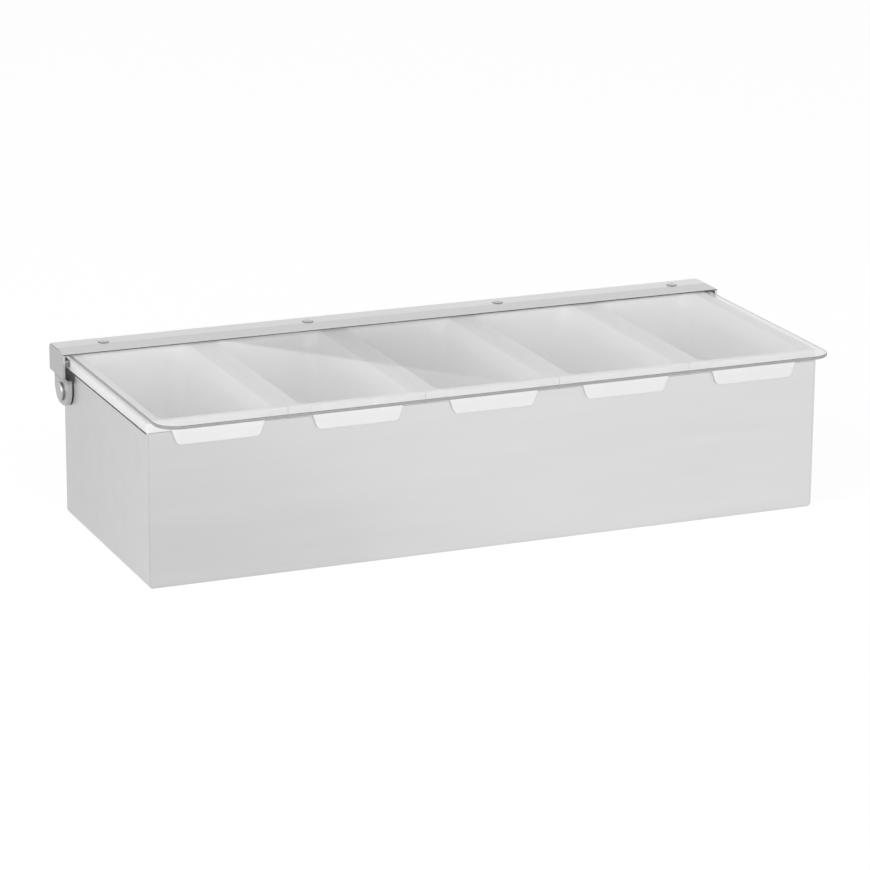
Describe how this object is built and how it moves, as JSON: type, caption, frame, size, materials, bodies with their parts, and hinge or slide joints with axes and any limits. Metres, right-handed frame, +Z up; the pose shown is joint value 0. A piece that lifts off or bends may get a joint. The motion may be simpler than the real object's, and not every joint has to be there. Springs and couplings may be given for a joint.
{
  "type": "bar condiment holder",
  "caption": "Long steel case holding a row of lift-out white trays with front grip tabs, under a clear lid that swings up on a riveted rear hinge rail.",
  "frame": {"origin": "centre of the case's base, on the surface that it stands on", "axes": "+X along the case to the right, +Y from the front with the grip tabs to the hinge at the back, +Z up"},
  "size_m": [0.4664, 0.2078, 0.1119],
  "materials": {
    "brushed_steel": "stainless sheet, fine brushed grain along the length",
    "white_plastic": "white moulded polypropylene, soft sheen",
    "clear_plastic": "clear polycarbonate sheet with polished edges",
    "bright_steel": "plain bright stainless rivets and pins",
    "washer_steel": "plain stainless washers"
  },
  "bodies": {
    "base": {"case_wrap": "brushed_steel", "front_panel": "brushed_steel", "rear_panel": "brushed_steel", "pivot_pin_left": "bright_steel", "pivot_pin_right": "bright_steel", "spacer_washer_left": "washer_steel", "spacer_washer_right": "washer_steel", "pin_collar_left": "washer_steel", "pin_collar_right": "washer_steel"},
    "lid": {"lid_panel": "clear_plastic", "hinge_rail": "brushed_steel", "lid_rivets": "bright_steel", "rivet_washers": "washer_steel", "hinge_ear_left": "brushed_steel", "hinge_ear_right": "brushed_steel"},
    "tray_1": {"insert_1": "white_plastic"},
    "tray_2": {"insert_2": "white_plastic"},
    "tray_3": {"insert_3": "white_plastic"},
    "tray_4": {"insert_4": "white_plastic"},
    "tray_5": {"insert_5": "white_plastic"}
  },
  "joints": [
    {"name": "lid_hinge", "type": "hinge", "parent": "base", "child": "lid", "pos_m": [0, 0.078, 0.0834], "axis": [-1, 0, 0], "range_deg": [0, 105]},
    {"name": "tray_1_lift", "type": "slide", "parent": "base", "child": "tray_1", "axis": [0, 0, 1], "range_m": [0, 0.0015]},
    {"name": "tray_2_lift", "type": "slide", "parent": "base", "child": "tray_2", "axis": [0, 0, 1], "range_m": [0, 0.0015]},
    {"name": "tray_3_lift", "type": "slide", "parent": "base", "child": "tray_3", "axis": [0, 0, 1], "range_m": [0, 0.0015]},
    {"name": "tray_4_lift", "type": "slide", "parent": "base", "child": "tray_4", "axis": [0, 0, 1], "range_m": [0, 0.0015]},
    {"name": "tray_5_lift", "type": "slide", "parent": "base", "child": "tray_5", "axis": [0, 0, 1], "range_m": [0, 0.0015]}
  ]
}
